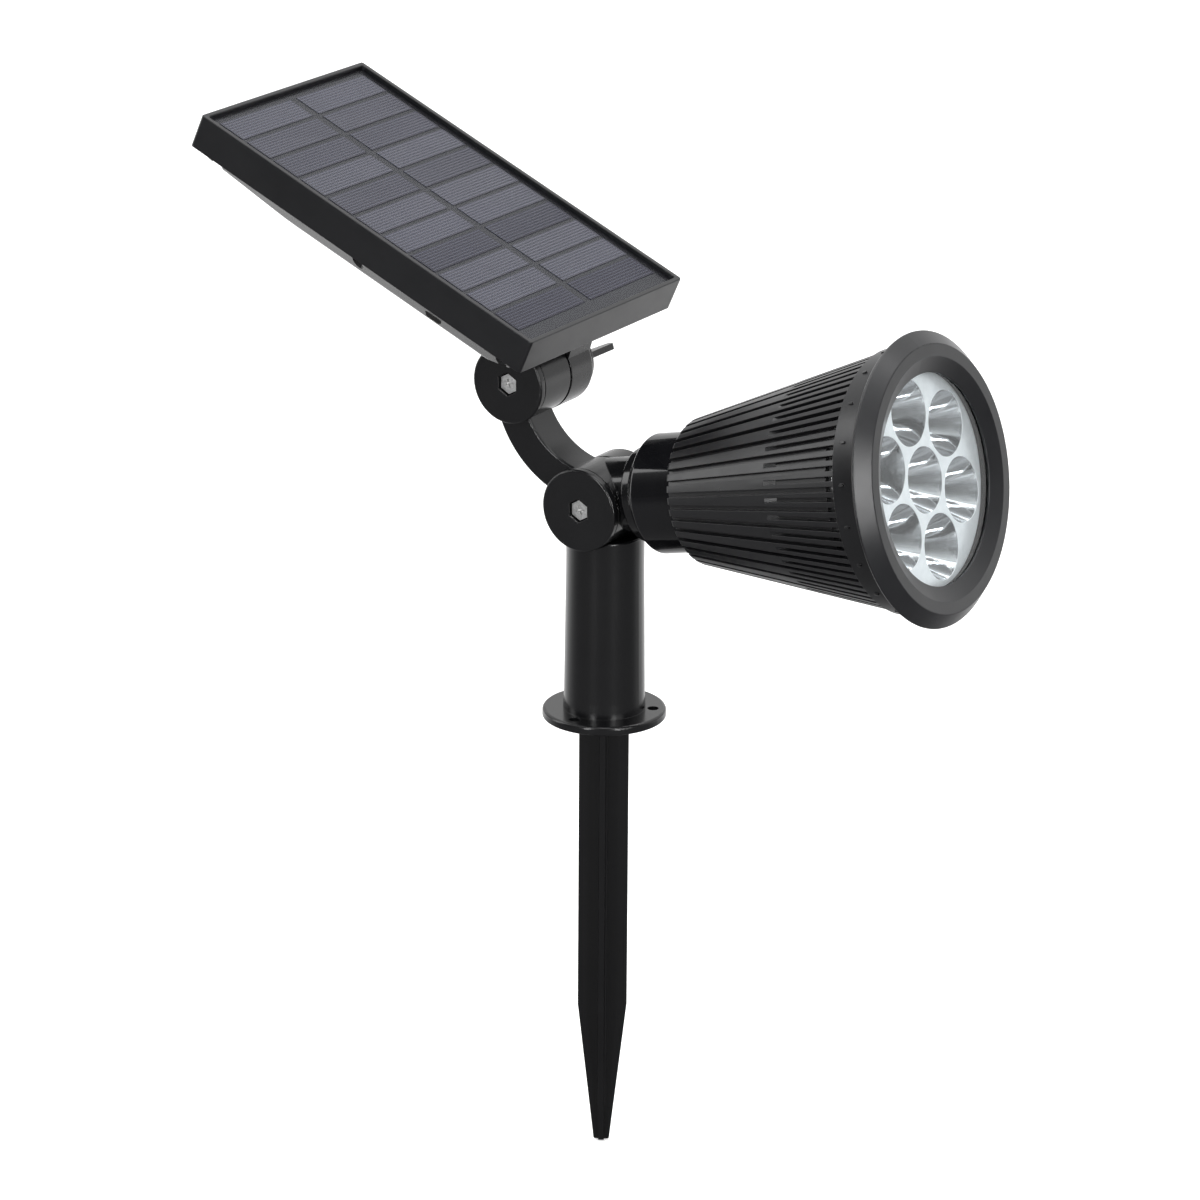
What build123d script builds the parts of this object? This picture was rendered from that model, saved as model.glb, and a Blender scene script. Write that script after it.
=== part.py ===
"""Solar garden spotlight on a ground stake: tilting solar panel, curved arm, ribbed lamp head.

The origin is the centre of the post flange's underside, +Z is up.  The lamp points towards +X,
the panel rises back towards -X, and both pivots run along Y.  "Near" is the -Y side, with the
bolt heads; "far" is the +Y side, with the wing nuts.  All lengths are millimetres.

Name endings: _R radius, _L length, _W width, _H height, _T thickness, _Y place along Y,
_AT distance along the lamp axis, _N height above the panel's reference point along its normal.
"""

import math
import os
from typing import NamedTuple

from build123d import *

os.makedirs("parts", exist_ok=True)

# ------------------------------------------------------------------ shared dimensions
# barrels of the two pivots
DISC_FACE_Y = -19.4
DISC_T = 3.1
SEAM_Y = 1.5            # far face of the near halves
FAR_Y = 2.1             # near face of the far halves

# pivot bolts
BOLT_R = 2.0
BOLT_HOLE_R = 2.06
BOLT_HEAD_H = 2.8
BOLT_FACE_Y = -18.0     # near face of the bolt heads
BOLT_SEAT_Y = BOLT_FACE_Y + BOLT_HEAD_H
BOLT_L = 40.0           # below the head
THROUGH = 30.0          # cut length that runs clear of a barrel

# lamp head
HEAD_Z = 87.4           # its axis crosses x = 0 just above the lower pivot
HEAD_TILT = 12.7
COLLAR_AT, CAP_AT = 18.5, 22.7
COLLAR_R = 17.9
WIRE_HOLE_R = 3.0
LED_AT = 121.5          # rear face of the LED board
REFLECTOR_FRONT_AT = 138.9
LENS_AT, LENS_FRONT_AT = 140.8, 142.6
NECK_SCREWS = dict(radius=8.5, count=3, start_angle=90)
LED_SCREWS = dict(radius=34.0, count=3, start_angle=37.5)

# solar panel
PANEL_TILT = 23.8
PANEL_Z = 131.2         # its reference point, directly above the upper pivot
PANEL_HIGH_END, PANEL_LOW_END = -142.5, 17.9
PANEL_L = PANEL_LOW_END - PANEL_HIGH_END
PANEL_W, PANEL_T = 104.4, 13.5
PANEL_WALL = 2.0
PANEL_MID = (PANEL_HIGH_END + PANEL_LOW_END) / 2
PANEL_TOP_N = 39.4
PANEL_BOTTOM_N = PANEL_TOP_N - PANEL_T
SHELF_N = 36.2          # underside of the cell sheet
COVER_SCREW_SPOTS = [(down, y) for down in (-132.0, -62.3, 7.0) for y in (-46.4, 46.4)]

# ------------------------------------------------------------------ helpers
NEAR_DIR = (0, -1, 0)
FAR_DIR = (0, 1, 0)


def direction(angle):
    """Unit vector in the XZ plane, at an angle in degrees above +X."""
    angle = math.radians(angle)
    return Vector(math.cos(angle), 0, math.sin(angle))


def side_plane(y, x=0.0, z=0.0):
    """Plane facing -Y whose local x, y are X, Z.  A positive extrude goes towards -Y."""
    return Plane(origin=(x, y, z), x_dir=(1, 0, 0), z_dir=NEAR_DIR)


class Pivot(NamedTuple):
    """One of the two bolted joints."""

    name: str
    x: float
    z: float
    disc_r: float       # outer disc of the near half
    barrel_r: float
    far_end: float      # y of the far half's outer face

    def side(self, y):
        """Plane facing -Y, centred on the pivot."""
        return side_plane(y, self.x, self.z)

    @property
    def profile(self):
        """Plane for revolves: local x is Y, local y is the radius."""
        return Plane(origin=(self.x, 0, self.z), x_dir=FAR_DIR, z_dir=(1, 0, 0))

    @property
    def axis(self):
        return Axis((self.x, 0, self.z), FAR_DIR)


LOWER = Pivot("lower", x=0.0, z=86.8, disc_r=15.9, barrel_r=15.6, far_end=15.0)
UPPER = Pivot("upper", x=-31.6, z=130.7, disc_r=15.2, barrel_r=14.9, far_end=17.8)
PIVOTS = (LOWER, UPPER)

HEAD_DIR = direction(HEAD_TILT)
HEAD_UP = direction(HEAD_TILT + 90)


def on_head(along, above=0.0, y=0.0):
    """Point at a distance along the lamp axis, above it and across it."""
    return Vector(0, y, HEAD_Z) + HEAD_DIR * along + HEAD_UP * above


def head_across(along):
    """Plane across the lamp axis: local x is -Y, local y is the lamp's down."""
    return Plane(origin=on_head(along), x_dir=NEAR_DIR, z_dir=HEAD_DIR)


def head_side(y=0.0):
    """Plane facing -Y: local x runs along the lamp axis, local y is the lamp's up."""
    return Plane(origin=on_head(0, 0, y), x_dir=HEAD_DIR, z_dir=NEAR_DIR)


HEAD_PROFILE = head_side()
HEAD_AXIS = Axis(on_head(0), HEAD_DIR)

DOWNHILL = direction(-PANEL_TILT)
PANEL_NORMAL = direction(90 - PANEL_TILT)


def on_panel(down, y, above):
    """Point in the panel's frame: down towards its low end, above towards its sky face."""
    return Vector(UPPER.x, y, PANEL_Z) + DOWNHILL * down + PANEL_NORMAL * above


def panel_flat(above, down=0.0, y=0.0):
    """Plane parallel to the panel: local x is downhill, local y is Y."""
    return Plane(origin=on_panel(down, y, above), x_dir=DOWNHILL, z_dir=PANEL_NORMAL)


def panel_side(y):
    """Plane facing -Y: local x is downhill, local y is the panel's normal."""
    return Plane(origin=on_panel(0, y, 0), x_dir=DOWNHILL, z_dir=NEAR_DIR)


def rounded_corner(before, corner, after):
    """Start, middle and end of the arc at a corner; the middle is None if it is sharp."""
    centre = Vector(corner[0], corner[1])
    radius = corner[2] if len(corner) > 2 else 0.0
    if radius <= 0:
        return centre, None, centre
    back = (Vector(before[0], before[1]) - centre).normalized()
    ahead = (Vector(after[0], after[1]) - centre).normalized()
    half = math.acos(back.dot(ahead)) / 2
    setback = radius / math.tan(half)
    middle = centre + (back + ahead).normalized() * (radius / math.sin(half) - radius)
    return centre + back * setback, middle, centre + ahead * setback


def outline(points):
    """Closed outline from (x, y) or (x, y, corner radius) tuples."""
    count = len(points)
    corners = [rounded_corner(points[i - 1], points[i], points[(i + 1) % count])
               for i in range(count)]
    for i, (start, middle, end) in enumerate(corners):
        if middle is not None:
            ThreePointArc(start, middle, end)
        next_start = corners[(i + 1) % count][0]
        if (end - next_start).length > 1e-6:
            Line(end, next_start)


def cross(length, width, rotation=0):
    """Cross-shaped screw recess, drawn in the open sketch."""
    Rectangle(length, width, rotation=rotation)
    Rectangle(width, length, rotation=rotation)


def save(builder, name):
    """Label a piece and write its file."""
    builder.part.label = name
    export_step(builder.part, f"parts/{name}.step")


def revolved_piece(name, points, profile=HEAD_PROFILE, axis=HEAD_AXIS):
    """Save a piece that is one revolved outline of (along axis, radius, corner radius)."""
    with BuildPart() as piece:
        with BuildSketch(profile):
            with BuildLine():
                outline(points)
            make_face()
        revolve(axis=axis)
    save(piece, name)


def lamp_screws(name, seat, spots, head_r, head_h, shank_r, shank_l, slot_l, slot_w, slot_depth):
    """Save a ring of screws whose heads stand forward of their seat on the lamp axis."""
    overrun = 0.3
    with BuildPart() as screws:
        with BuildSketch(head_across(seat)):
            with PolarLocations(**spots):
                Circle(head_r)
        extrude(amount=head_h)
        with BuildSketch(head_across(seat)):
            with PolarLocations(**spots):
                Circle(shank_r)
        extrude(amount=-shank_l)
        with BuildSketch(head_across(seat + head_h + overrun)):
            with PolarLocations(**spots):
                cross(slot_l, slot_w)
        extrude(amount=-(slot_depth + overrun), mode=Mode.SUBTRACT)
    save(screws, name)


# ------------------------------------------------------------------ stake
STAKE_W = 19.0          # fin-to-fin width
STAKE_T = 2.2
STAKE_ANGLE = 29.0      # fins turned about +Z
STAKE_STRAIGHT = 120.1  # straight length below the flange
STAKE_TIP = 177.5       # total length below the flange
STAKE_TIP_W = 6.0
TIP_CORNER_R = 0.8
NOTCH_W, NOTCH_H = 1.8, 2.2
CORE_R = 2.1
CORE_L = STAKE_TIP - 14
PLUG_R, PLUG_H = 11.9, 26.0
PLUG_WALL, PLUG_FLOOR = 3.2, 5.0

with BuildPart() as stake:
    for turn in (0, 90):
        angle = math.radians(STAKE_ANGLE + turn)
        fin_plane = Plane(origin=(0, 0, 0), x_dir=(math.cos(angle), math.sin(angle), 0),
                          z_dir=(math.sin(angle), -math.cos(angle), 0))
        with BuildSketch(fin_plane):
            with BuildLine():
                outline([
                    (-STAKE_W / 2, 0), (STAKE_W / 2, 0), (STAKE_W / 2, -STAKE_STRAIGHT),
                    (STAKE_TIP_W / 2, -STAKE_TIP, TIP_CORNER_R), (NOTCH_W / 2, -STAKE_TIP),
                    (0, -STAKE_TIP + NOTCH_H), (-NOTCH_W / 2, -STAKE_TIP),
                    (-STAKE_TIP_W / 2, -STAKE_TIP, TIP_CORNER_R), (-STAKE_W / 2, -STAKE_STRAIGHT),
                ])
            make_face()
        extrude(amount=STAKE_T / 2, both=True)
    # thicker core where the fins meet
    with BuildSketch(Plane.XY.offset(-CORE_L)):
        Circle(CORE_R)
    extrude(amount=CORE_L)
    # plug inside the post, hollow above its floor
    with BuildSketch(Plane.XY):
        Circle(PLUG_R)
    extrude(amount=PLUG_H)
    with BuildSketch(Plane.XY.offset(PLUG_FLOOR)):
        Circle(PLUG_R - PLUG_WALL)
    extrude(amount=PLUG_H - PLUG_FLOOR, mode=Mode.SUBTRACT)
save(stake, "stake")

# ------------------------------------------------------------------ post
FLANGE_R, FLANGE_H = 23.66, 3.4
POST_BOTTOM_R, POST_TOP_R = 15.45, 14.85
POST_FOOT_H = 9.0       # top of the small flare above the flange
POST_SADDLE_H = 73.4    # top of the near half, which is hollowed to clear the near barrel
POST_BORE_R, POST_BORE_H = 12.0, 60.9
BORE_TOP_H = POST_BORE_H + 2    # top of the bore's bevelled end
FLANGE_HOLE_R = 2.15
FLANGE_HOLES = dict(radius=37.3 / 2, count=3, start_angle=25.4)
RELIEF_GAP = 0.35

with BuildPart() as post:
    with BuildSketch(Plane.XZ):
        with BuildLine():
            outline([
                (POST_BORE_R, 0), (FLANGE_R, 0, 0.6), (FLANGE_R, FLANGE_H, 1.2),
                (POST_BOTTOM_R + 0.3, FLANGE_H), (POST_BOTTOM_R, POST_FOOT_H),
                (POST_TOP_R, POST_BORE_H), (POST_TOP_R, POST_SADDLE_H, 0.8), (0, POST_SADDLE_H),
                (0, BORE_TOP_H), (POST_BORE_R - 2, BORE_TOP_H, 1.0), (POST_BORE_R, POST_BORE_H),
            ])
        make_face()
    revolve(axis=Axis.Z)
    # the far half of the post carries on up to the lower pivot
    with BuildSketch(Plane.XY.offset(BORE_TOP_H)):
        Circle(POST_TOP_R)
        with Locations((0, FAR_Y - 20)):
            Rectangle(60, 40, mode=Mode.SUBTRACT)
    extrude(amount=LOWER.z - BORE_TOP_H)
    with BuildSketch(LOWER.profile):
        with BuildLine():
            outline([(FAR_Y, 0), (LOWER.far_end, 0), (LOWER.far_end, LOWER.barrel_r, 2.0),
                     (FAR_Y, LOWER.barrel_r, 0.25)])
        make_face()
    revolve(axis=LOWER.axis)
    # relief for the near barrel and the friction washer
    with BuildSketch(LOWER.side(FAR_Y)):
        Circle(LOWER.disc_r + RELIEF_GAP)
    extrude(amount=THROUGH, mode=Mode.SUBTRACT)
    # through hole for the pivot bolt
    with BuildSketch(LOWER.side(LOWER.far_end + 1)):
        Circle(BOLT_HOLE_R)
    extrude(amount=THROUGH, mode=Mode.SUBTRACT)
    # fixing holes in the flange
    with BuildSketch(Plane.XY):
        with PolarLocations(**FLANGE_HOLES):
            Circle(FLANGE_HOLE_R)
    extrude(amount=10, both=True, mode=Mode.SUBTRACT)
save(post, "post")

# ------------------------------------------------------------------ bracket
# near barrels, arm, neck and collar; the arm is a ring sector about (ARM_X, ARM_Z)
ARM_X, ARM_Z = 3.0, 131.4
ARM_INNER_R, ARM_OUTER_R = 30.9, 44.0
ARM_START, ARM_END = 172, 262
ARM_NEAR_Y = -14.8
ARM_EDGE_R = 1.0
NECK_AT = 2.0
NECK_R = 14.6
NECK_FLAT = 11.8        # depth of the neck's flat underside below the lamp axis
NECK_OVERLAP = 0.5      # into the collar
BARREL_STEP = 0.5       # depth of the groove behind each disc
BARREL_GROOVE_W = 0.7
POCKET_AF = 8.0         # across flats
PILOT_R = 1.5


def arm_point(radius, angle):
    """Point of the arm's outline about its centre."""
    angle = math.radians(angle)
    return radius * math.cos(angle), radius * math.sin(angle)


ARM_MID = (ARM_START + ARM_END) / 2
OUTER_ARC = [arm_point(ARM_OUTER_R, angle) for angle in (ARM_START, ARM_MID, ARM_END)]
INNER_ARC = [arm_point(ARM_INNER_R, angle) for angle in (ARM_END, ARM_MID, ARM_START)]

with BuildPart() as bracket:
    with BuildSketch(side_plane(SEAM_Y, ARM_X, ARM_Z)):
        with BuildLine():
            ThreePointArc(*OUTER_ARC)
            Line(OUTER_ARC[-1], INNER_ARC[0])
            ThreePointArc(*INNER_ARC)
            Line(INNER_ARC[-1], OUTER_ARC[0])
        make_face()
    extrude(amount=SEAM_Y - ARM_NEAR_Y)
    fillet(bracket.edges().filter_by(GeomType.CIRCLE).group_by(Axis.Y)[0], ARM_EDGE_R)
    fillet(bracket.edges().filter_by(GeomType.CIRCLE).group_by(Axis.Y)[-1], ARM_EDGE_R)
    # neck stub: cut flat underneath and at the seam
    with BuildSketch(head_across(NECK_AT)):
        Circle(NECK_R)
        with Locations((0, 20 + NECK_FLAT)):
            Rectangle(60, 40, mode=Mode.SUBTRACT)
        with Locations((-20 - SEAM_Y, 0)):
            Rectangle(40, 60, mode=Mode.SUBTRACT)
    extrude(amount=COLLAR_AT - NECK_AT + NECK_OVERLAP)
    # collar plate the lamp screws to
    with BuildSketch(HEAD_PROFILE):
        with BuildLine():
            outline([(COLLAR_AT, 0), (COLLAR_AT, COLLAR_R, 1.0),
                     (CAP_AT, COLLAR_R + 0.4, 0.5), (CAP_AT, 0)])
        make_face()
    revolve(axis=HEAD_AXIS)
    # barrels with their outer discs
    disc_back_y = DISC_FACE_Y + DISC_T
    for pivot in PIVOTS:
        groove_r = pivot.barrel_r - BARREL_STEP
        with BuildSketch(pivot.profile):
            with BuildLine():
                outline([
                    (SEAM_Y, 0), (SEAM_Y, pivot.barrel_r, 0.4),
                    (disc_back_y + BARREL_GROOVE_W, pivot.barrel_r),
                    (disc_back_y + BARREL_GROOVE_W, groove_r), (disc_back_y, groove_r),
                    (disc_back_y, pivot.disc_r, 0.5), (DISC_FACE_Y, pivot.disc_r, 0.9),
                    (DISC_FACE_Y, 0),
                ])
            make_face()
        revolve(axis=pivot.axis)
    # hexagonal pockets and bolt holes
    for pivot in PIVOTS:
        with BuildSketch(pivot.side(BOLT_SEAT_Y)):
            RegularPolygon(radius=POCKET_AF / 2, side_count=6, major_radius=False, rotation=30)
        extrude(amount=10, mode=Mode.SUBTRACT)
        with BuildSketch(pivot.side(SEAM_Y + 1)):
            Circle(BOLT_HOLE_R)
        extrude(amount=THROUGH, mode=Mode.SUBTRACT)
    # wire hole and three pilot holes in the collar face
    with BuildSketch(head_across(CAP_AT + 0.1)):
        Circle(WIRE_HOLE_R)
        with PolarLocations(**NECK_SCREWS):
            Circle(PILOT_R)
    extrude(amount=-4.5, mode=Mode.SUBTRACT)
save(bracket, "bracket")

# ------------------------------------------------------------------ pivot bolts
BOLT_AF = 7.0           # across flats
BOLT_SLOT_DEPTH = 1.6

with BuildPart() as pivot_bolts:
    for pivot in PIVOTS:
        with BuildSketch(pivot.side(BOLT_SEAT_Y)):
            RegularPolygon(radius=BOLT_AF / 2, side_count=6, major_radius=False, rotation=30)
        extrude(amount=BOLT_HEAD_H)
        with BuildSketch(pivot.side(BOLT_SEAT_Y + BOLT_L)):
            Circle(BOLT_R)
        extrude(amount=BOLT_L + 0.4)
        with BuildSketch(pivot.side(BOLT_FACE_Y + BOLT_SLOT_DEPTH)):
            cross(3.6, 0.8, rotation=20)
        extrude(amount=5, mode=Mode.SUBTRACT)
save(pivot_bolts, "pivot_bolts")

# ------------------------------------------------------------------ friction washers in the seams
WASHER_GAP = 0.05
FRICTION_INSET = 1.2    # from the barrel's edge

with BuildPart() as friction_washers:
    for pivot in PIVOTS:
        with BuildSketch(pivot.side(FAR_Y - WASHER_GAP)):
            Circle(pivot.barrel_r - FRICTION_INSET)
            Circle(BOLT_HOLE_R + 0.3, mode=Mode.SUBTRACT)
        extrude(amount=FAR_Y - WASHER_GAP - SEAM_Y)
save(friction_washers, "friction_washers")

# ------------------------------------------------------------------ steel washers
STEEL_R, STEEL_T = 6.0, 0.8

with BuildPart() as steel_washers:
    for pivot in PIVOTS:
        with BuildSketch(pivot.side(pivot.far_end + WASHER_GAP + STEEL_T)):
            Circle(STEEL_R)
            Circle(BOLT_HOLE_R, mode=Mode.SUBTRACT)
        extrude(amount=STEEL_T)
save(steel_washers, "steel_washers")

# ------------------------------------------------------------------ wing nuts and their inserts
WING_TILT = 15.0        # wings turned about the bolt
WING_T = 2.4
NUT_H = 9.5
NUT_MOUTH_R = 2.4       # opening beyond the insert
INSERT_R, INSERT_L = 3.4, 7.0
# base, skirt and hub: (height above the nut's base, radius, corner radius)
NUT_OUTLINE = [
    (0, INSERT_R), (0, 13.3, 0.5), (2.0, 13.3, 1.0), (3.4, 8.0, 1.0), (NUT_H, 6.2, 1.0),
    (NUT_H, NUT_MOUTH_R), (INSERT_L, NUT_MOUTH_R), (INSERT_L, INSERT_R),
]
# one wing: (distance from the bolt, height above the nut's base, corner radius)
WING_OUTLINE = [
    (3.6, 1.2), (11.6, 1.2), (12.2, 18.5, 1.6), (8.8, 19.6, 1.4), (6.2, 9.0, 2.0), (3.6, 6.5),
]


def build_wing_nut(pivot):
    """Save the wing nut of one pivot and the sleeve inside it."""
    base = pivot.far_end + STEEL_T + 2 * WASHER_GAP
    insert_end = base + INSERT_L
    with BuildPart() as wing_nut:
        with BuildSketch(pivot.profile):
            with BuildLine():
                outline([(base + height, *rest) for height, *rest in NUT_OUTLINE])
            make_face()
        revolve(axis=pivot.axis)
        # two wings, standing along the bolt axis
        with BuildSketch(Plane(origin=(pivot.x, 0, pivot.z), x_dir=direction(WING_TILT),
                               z_dir=direction(WING_TILT + 90))):
            for side in (1, -1):
                with BuildLine():
                    outline([(side * out, base + height, *rest)
                             for out, height, *rest in WING_OUTLINE])
                make_face()
        extrude(amount=WING_T / 2, both=True)
        with BuildSketch(pivot.profile):
            with BuildLine():
                outline([(base - 1, 0), (insert_end, 0), (insert_end, INSERT_R),
                         (base - 1, INSERT_R)])
            make_face()
        revolve(axis=pivot.axis, mode=Mode.SUBTRACT)
    save(wing_nut, f"wing_nut_{pivot.name}")
    revolved_piece(
        f"wing_insert_{pivot.name}",
        [(base, BOLT_HOLE_R), (base, INSERT_R), (insert_end, INSERT_R), (insert_end, BOLT_HOLE_R)],
        pivot.profile, pivot.axis)


for pivot in PIVOTS:
    build_wing_nut(pivot)

# ------------------------------------------------------------------ rear cap of the lamp
CAP_R, CAP_BORE_R = 22.6, 19.6
CAP_CYLINDER_AT = 26.0  # where the rear bevel meets the cylinder
CAP_FLOOR_AT, CAP_END_AT = 26.4, 48.9
RING_GROOVE_R = 21.5
RING_GROOVE_AT, RING_GROOVE_END_AT = 46.4, 47.8

with BuildPart() as lamp_rear_cap:
    with BuildSketch(HEAD_PROFILE):
        with BuildLine():
            outline([
                (CAP_AT, WIRE_HOLE_R), (CAP_AT, COLLAR_R + 0.5, 0.3),
                (CAP_AT + 0.9, COLLAR_R + 0.9, 0.3), (CAP_CYLINDER_AT, CAP_R, 1.6),
                (RING_GROOVE_AT, CAP_R), (RING_GROOVE_AT, RING_GROOVE_R),
                (RING_GROOVE_END_AT, RING_GROOVE_R), (RING_GROOVE_END_AT, CAP_R),
                (CAP_END_AT, CAP_R, 0.4), (CAP_END_AT, CAP_BORE_R),
                (CAP_FLOOR_AT, CAP_BORE_R, 2.0), (CAP_FLOOR_AT, WIRE_HOLE_R),
            ])
        make_face()
    revolve(axis=HEAD_AXIS)
    with BuildSketch(head_across(CAP_FLOOR_AT + 0.1)):
        with PolarLocations(**NECK_SCREWS):
            Circle(1.55)
    extrude(amount=-6, mode=Mode.SUBTRACT)
save(lamp_rear_cap, "lamp_rear_cap")

lamp_screws("neck_screws", seat=CAP_FLOOR_AT, spots=NECK_SCREWS, head_r=2.8, head_h=1.9,
            shank_r=1.45, shank_l=7.6, slot_l=2.8, slot_w=0.7, slot_depth=1.0)

with BuildPart() as cap_o_ring:
    with BuildSketch(HEAD_PROFILE):
        with Locations(((RING_GROOVE_AT + RING_GROOVE_END_AT) / 2, 22.08)):
            Circle(0.55)
    revolve(axis=HEAD_AXIS)
save(cap_o_ring, "cap_o_ring")

# ------------------------------------------------------------------ ribbed lamp housing
# a cone from HOUSING_AT to BAND_AT, then a plain band that ends at the bezel
HOUSING_AT, BAND_AT, BEZEL_AT = 45.0, 129.3, 140.0
CONE_START_R, CONE_END_R = 27.6, 47.6
RIB_COUNT = 40
RIB_STEP = 360.0 / RIB_COUNT
GROOVE_DEPTH = 2.2
LONG_GROOVE_W, SHORT_GROOVE_W = 1.8, 1.6
SHORT_GROOVE_AT = 95.5
GROOVE_ANGLE = 2.0      # the first short groove lies this far round from the lamp's up
TOOL_LIFT = 1.6         # the groove cutters reach this far out of the cone
PIP_COUNT, PIP_ANGLE = 20, 5.0
PIP_AT, PIP_BASE_R, PIP_H = 133.6, 47.4, 1.75

SLOPE = math.atan((CONE_END_R - CONE_START_R) / (BAND_AT - HOUSING_AT))
CONE_DIR = direction(HEAD_TILT + math.degrees(SLOPE))
CONE_NORMAL = direction(HEAD_TILT + math.degrees(SLOPE) + 90)
CONE_L = (BAND_AT - HOUSING_AT) / math.cos(SLOPE)
SHORT_START = (SHORT_GROOVE_AT - HOUSING_AT) / math.cos(SLOPE)
TOOL_ORIGIN = on_head(HOUSING_AT, CONE_START_R) + CONE_NORMAL * TOOL_LIFT

with BuildPart() as long_tool:
    with BuildSketch(Plane(origin=TOOL_ORIGIN, x_dir=CONE_DIR, z_dir=CONE_NORMAL)):
        with BuildLine():
            Polyline((-3, -LONG_GROOVE_W / 2), (CONE_L, -LONG_GROOVE_W / 2),
                     (CONE_L, LONG_GROOVE_W / 2), (-3, LONG_GROOVE_W / 2), close=True)
        make_face()
    extrude(amount=-(GROOVE_DEPTH + TOOL_LIFT))

# the short grooves start on a ramp
with BuildPart() as short_tool:
    with BuildSketch(Plane(origin=TOOL_ORIGIN, x_dir=CONE_DIR, z_dir=NEAR_DIR)):
        with BuildLine():
            Polyline((SHORT_START - 1.0, 0.0), (SHORT_START - 1.0, -TOOL_LIFT + 0.05),
                     (SHORT_START + 3.6, -TOOL_LIFT - GROOVE_DEPTH),
                     (CONE_L, -TOOL_LIFT - GROOVE_DEPTH), (CONE_L, 0.0), close=True)
        make_face()
    extrude(amount=SHORT_GROOVE_W / 2, both=True)

with BuildPart() as pip_tool:
    with BuildSketch(Plane(origin=on_head(PIP_AT, PIP_BASE_R), x_dir=CONE_DIR,
                           z_dir=CONE_NORMAL)):
        SlotOverall(2.0, 1.1)
    extrude(amount=PIP_H)


def around_head(shape, count, first_angle):
    """Copies of a shape evenly spaced about the lamp axis."""
    return [shape.rotate(HEAD_AXIS, 360.0 / count * i + first_angle) for i in range(count)]


groove_tools = around_head(long_tool.part, RIB_COUNT, GROOVE_ANGLE + RIB_STEP / 2)
groove_tools += around_head(short_tool.part, RIB_COUNT, GROOVE_ANGLE)

with BuildPart() as lamp_housing:
    with BuildSketch(HEAD_PROFILE):
        with BuildLine():
            outline([
                (HOUSING_AT, 22.7), (HOUSING_AT, CONE_START_R - 0.2, 1.6), (BAND_AT, CONE_END_R),
                (BAND_AT, CONE_END_R + 0.7, 0.2), (BEZEL_AT, 49.3, 0.3),
                (BEZEL_AT, 45.1), (124.0, 45.1), (124.0, 40.9), (LED_AT, 40.9), (LED_AT, 30.0),
                (119.0, 30.0), (119.0, 40.2), (51.5, 24.6), (51.5, 15.0), (49.0, 15.0),
                (49.0, 22.7),
            ])
        make_face()
    revolve(axis=HEAD_AXIS)
    add(groove_tools, mode=Mode.SUBTRACT)
    add(around_head(pip_tool.part, PIP_COUNT, PIP_ANGLE))
    # pilot holes for the LED board
    with BuildSketch(head_across(LED_AT + 0.1)):
        with PolarLocations(**LED_SCREWS):
            Circle(1.2)
    extrude(amount=-4, mode=Mode.SUBTRACT)
save(lamp_housing, "lamp_housing")

# ------------------------------------------------------------------ bezel, lens, gasket
BEZEL_R, BEZEL_FRONT_R, OPENING_R = 53.9, 48.75, 38.5
BEZEL_BACK_AT = BEZEL_AT + 0.1
FRONT_AT = 146.0
SKIRT_INNER_R, SKIRT_R = 42.2, 44.9
LENS_R = 42.0

revolved_piece("bezel", [
    (130.0, SKIRT_INNER_R), (130.0, SKIRT_R, 0.5), (BEZEL_BACK_AT, SKIRT_R),
    (BEZEL_BACK_AT, 53.1, 0.4), (BEZEL_AT + 1.1, BEZEL_R, 0.5), (FRONT_AT, BEZEL_FRONT_R, 0.5),
    (FRONT_AT, 44.2, 0.3), (143.3, OPENING_R, 0.2), (LENS_FRONT_AT, OPENING_R),
    (LENS_FRONT_AT, SKIRT_INNER_R),
])
revolved_piece("lens", [
    (LENS_AT, 0), (LENS_AT, LENS_R, 0.2), (LENS_FRONT_AT, LENS_R, 0.2), (LENS_FRONT_AT, 0),
])
revolved_piece("lens_gasket", [
    (REFLECTOR_FRONT_AT, 39.6, 0.5), (REFLECTOR_FRONT_AT, 42.1, 0.5),
    (LENS_AT, 42.1, 0.5), (LENS_AT, 39.6, 0.5),
])

# ------------------------------------------------------------------ reflector with seven cups
CUP_CIRCLE_R = 26.0     # circle through the six outer cups
CUP_TURN = 7.5          # first outer cup, past the lamp's down
CUP_BASE_AT = 124.7
CUP_BASE_R, CUP_MOUTH_R = 3.4, 12.2
CUP_WALL = 0.8
REFLECTOR_R, REFLECTOR_INNER_R = 42.0, 41.1
REFLECTOR_BACK_AT = 124.05
CUP_STEPS = [CUP_BASE_AT, 125.6, 127.2, 129.6, 132.4, 135.6, REFLECTOR_FRONT_AT]

# cup centres in head_across coordinates
CUP_SPOTS = [(0.0, 0.0)]
for i in range(6):
    angle = math.radians(90 + CUP_TURN + 60 * i)
    CUP_SPOTS.append((CUP_CIRCLE_R * math.cos(angle), CUP_CIRCLE_R * math.sin(angle)))


def cup_radius(along):
    """Inside radius of a parabolic cup."""
    depth = (along - CUP_BASE_AT) / (REFLECTOR_FRONT_AT - CUP_BASE_AT)
    return math.sqrt(CUP_BASE_R ** 2 + (CUP_MOUTH_R ** 2 - CUP_BASE_R ** 2) * depth)


outer_steps = CUP_STEPS[:-1] + [REFLECTOR_FRONT_AT - 0.1]
cup_outer = [(along, cup_radius(along) + CUP_WALL) for along in outer_steps]
cup_inner = [(along, cup_radius(along)) for along in CUP_STEPS]
cup_centres = [head_across(0).from_local_coords((*spot, 0)) for spot in CUP_SPOTS]

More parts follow.
